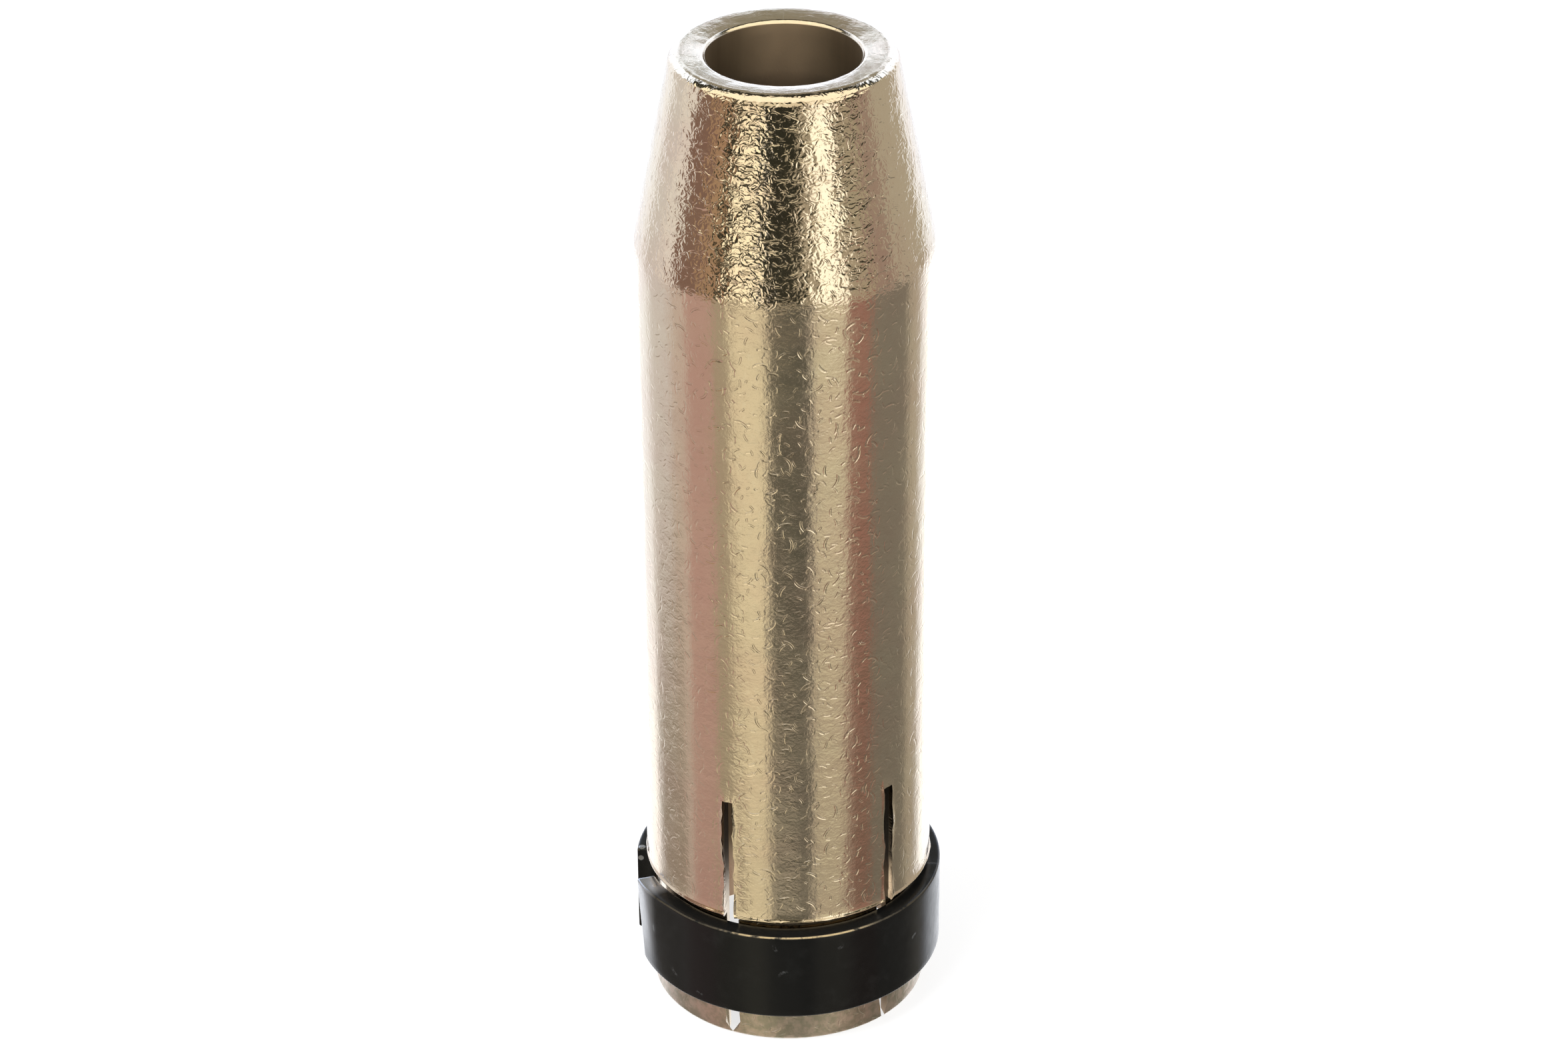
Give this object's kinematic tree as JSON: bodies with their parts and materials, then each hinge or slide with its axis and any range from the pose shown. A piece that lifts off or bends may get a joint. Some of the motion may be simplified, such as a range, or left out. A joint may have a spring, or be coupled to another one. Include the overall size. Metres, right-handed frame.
{
  "type": "welding gas nozzle",
  "caption": "Conical push-on gas nozzle of a wire-feed welding gun: a nickel-plated tube, slotted at the rear, with a black split clamp ring in a groove round its tail.",
  "frame": {"origin": "centre of the rear end face, on the tube's axis", "axes": "+Z along the tube's axis towards the gas outlet; the ring's split faces -X"},
  "size_m": [0.0258, 0.0258, 0.0855],
  "materials": {
    "nickel_plate": "nickel plated, satin with fine dings, warm tint",
    "black_steel": "blackened spring steel, satin, worn at its edges"
  },
  "bodies": {
    "nozzle": {"nozzle_body": "nickel_plate"},
    "ring": {"clamp_ring": "black_steel"}
  },
  "joints": [
    {"name": "ring_turn", "type": "hinge", "parent": "nozzle", "child": "ring", "pos_m": [0, 0, 0.0073], "axis": [0, 0, 1], "continuous": true}
  ]
}
